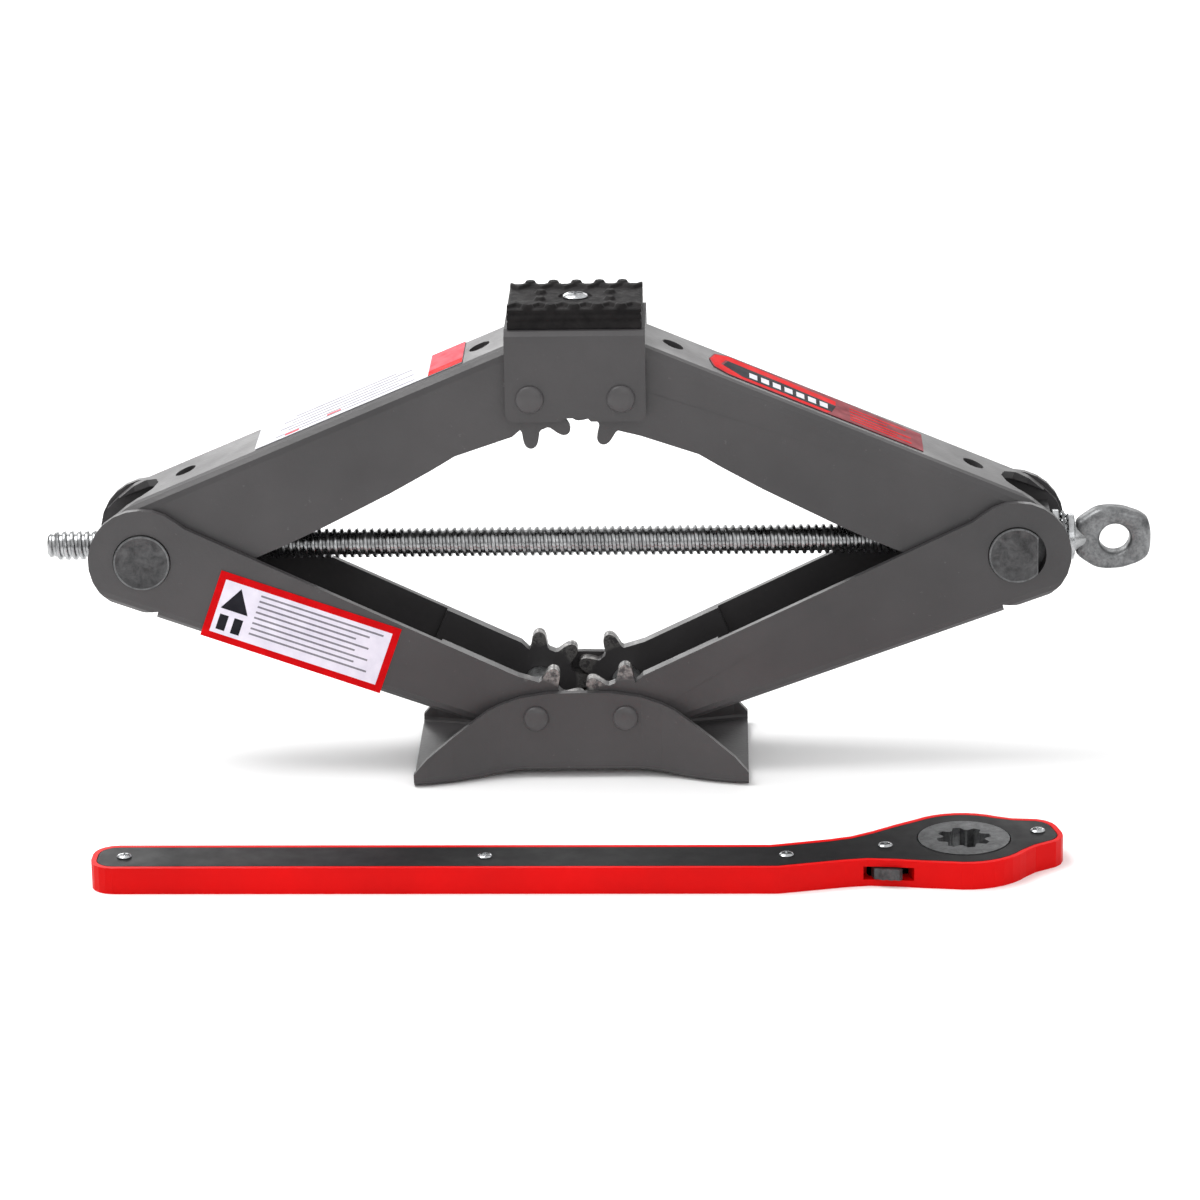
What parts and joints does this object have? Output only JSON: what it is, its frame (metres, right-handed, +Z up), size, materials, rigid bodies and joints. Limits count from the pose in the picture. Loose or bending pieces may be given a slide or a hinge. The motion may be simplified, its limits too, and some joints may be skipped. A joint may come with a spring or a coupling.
{
  "type": "car jack",
  "caption": "Scissor car jack of folded grey steel arms on a trough base, with a rubber-padded saddle, lead screw with forged eye, and a red ratchet wrench lying in front.",
  "frame": {"origin": "centre of the base plate's sole, under the middle of the jack", "axes": "+X along the lead screw towards its eye, +Y away from the viewer, +Z up in the direction of lift"},
  "size_m": [0.4392, 0.1892, 0.1933],
  "materials": {
    "grey_paint": "satin",
    "zinc": "satin",
    "rubber": "matt",
    "label_white": "satin",
    "label_red": "satin",
    "red_body": "satin",
    "black_plate": "satin"
  },
  "bodies": {
    "base": {"base_plate": "grey_paint", "lower_pivot_pin_left": "grey_paint", "lower_pivot_pin_right": "grey_paint", "lower_spacer_left": "zinc", "lower_spacer_right": "zinc"},
    "lower_left": {"lower_arm_left": "grey_paint", "front_label": "label_white"},
    "lower_right": {"lower_arm_right": "grey_paint"},
    "left_trunnion": {"trunnion_nut": "zinc"},
    "right_trunnion": {"trunnion_block": "zinc", "thrust_race_fixed": "zinc"},
    "upper_left": {"upper_arm_left": "grey_paint", "left_top_label": "label_white"},
    "upper_right": {"upper_arm_right": "grey_paint", "right_top_label": "label_red"},
    "saddle": {"saddle_bracket": "grey_paint", "saddle_pad": "rubber", "pad_screw": "zinc", "pad_nut": "zinc", "upper_pivot_pin_left": "grey_paint", "upper_pivot_pin_right": "grey_paint", "upper_spacer_left": "zinc", "upper_spacer_right": "zinc"},
    "screw": {"lead_screw": "zinc", "thrust_race_turning": "zinc"},
    "ball_cage": {"thrust_ball_cage": "zinc"},
    "wrench": {"wrench_body": "red_body", "wrench_top_plate": "black_plate", "wrench_bottom_plate": "black_plate", "wrench_screw_1": "zinc", "wrench_screw_2": "zinc", "wrench_screw_3": "zinc", "wrench_screw_4": "zinc", "wrench_screw_5": "zinc"},
    "ratchet": {"ratchet_ring": "zinc"},
    "pawl": {"ratchet_pawl": "zinc"},
    "lever": {"direction_lever": "zinc"}
  },
  "joints": [
    {"name": "lower_right_lift", "type": "hinge", "parent": "base", "child": "lower_right", "pos_m": [0.0178, 0, 0.0254], "axis": [0, -1, 0], "range_deg": [-14.9, 43.1]},
    {"name": "lower_left_lift", "type": "hinge", "parent": "base", "child": "lower_left", "pos_m": [-0.0178, 0, 0.0254], "axis": [0, 1, 0], "range_deg": [-15.2, 43.5]},
    {"name": "left_trunnion_level", "type": "hinge", "parent": "lower_left", "child": "left_trunnion", "pos_m": [-0.17256, 0, 0.09077], "axis": [0, 1, 0], "range_deg": [-43.5, 15.2]},
    {"name": "right_trunnion_level", "type": "hinge", "parent": "lower_right", "child": "right_trunnion", "pos_m": [0.17256, 0, 0.09077], "axis": [0, -1, 0], "range_deg": [-43.5, 15.2]},
    {"name": "upper_left_lift", "type": "hinge", "parent": "lower_left", "child": "upper_left", "pos_m": [-0.17256, 0, 0.09077], "axis": [0, 1, 0], "range_deg": [-87, 30.4]},
    {"name": "upper_right_lift", "type": "hinge", "parent": "lower_right", "child": "upper_right", "pos_m": [0.17256, 0, 0.09077], "axis": [0, -1, 0], "range_deg": [-87, 30.4]},
    {"name": "saddle_level", "type": "hinge", "parent": "upper_left", "child": "saddle", "pos_m": [-0.0178, 0, 0.15615], "axis": [0, 1, 0], "range_deg": [-15.2, 43.5]},
    {"name": "screw_turn", "type": "hinge", "parent": "right_trunnion", "child": "screw", "pos_m": [0.17256, 0, 0.09077], "axis": [1, 0, 0], "range_deg": [-6106, 17550]},
    {"name": "ball_cage_turn", "type": "hinge", "parent": "right_trunnion", "child": "ball_cage", "pos_m": [0.19046, 0, 0.09077], "axis": [1, 0, 0], "range_deg": [-3073, 8795]},
    {"name": "wrench_pick_up", "type": "slide", "parent": "base", "child": "wrench", "axis": [0, 0, 1], "range_m": [0, 0.15]},
    {"name": "ratchet_turn", "type": "hinge", "parent": "wrench", "child": "ratchet", "pos_m": [0.1472, -0.12242, 0.0052], "axis": [0, 0, 1], "continuous": true},
    {"name": "lever_throw", "type": "hinge", "parent": "wrench", "child": "lever", "pos_m": [0.11728, -0.12972, 0.0062], "axis": [0, 0, 1], "range_deg": [-8, 8]},
    {"name": "pawl_rock", "type": "hinge", "parent": "wrench", "child": "pawl", "pos_m": [0.11728, -0.12972, 0.0031], "axis": [0, 0, 1], "range_deg": [-4.5, 4.5]}
  ],
  "couplings": [
    {"joint": "lower_left_lift", "follows": "lower_right_lift", "ratio": 1},
    {"joint": "left_trunnion_level", "follows": "lower_right_lift", "ratio": -1},
    {"joint": "right_trunnion_level", "follows": "lower_right_lift", "ratio": -1},
    {"joint": "upper_left_lift", "follows": "lower_right_lift", "ratio": -2},
    {"joint": "upper_right_lift", "follows": "lower_right_lift", "ratio": -2},
    {"joint": "saddle_level", "follows": "lower_right_lift", "ratio": 1},
    {"joint": "screw_turn", "follows": "lower_right_lift", "ratio": 405.8},
    {"joint": "ball_cage_turn", "follows": "lower_right_lift", "ratio": 202.9},
    {"joint": "pawl_rock", "follows": "lever_throw", "ratio": 0.5}
  ]
}
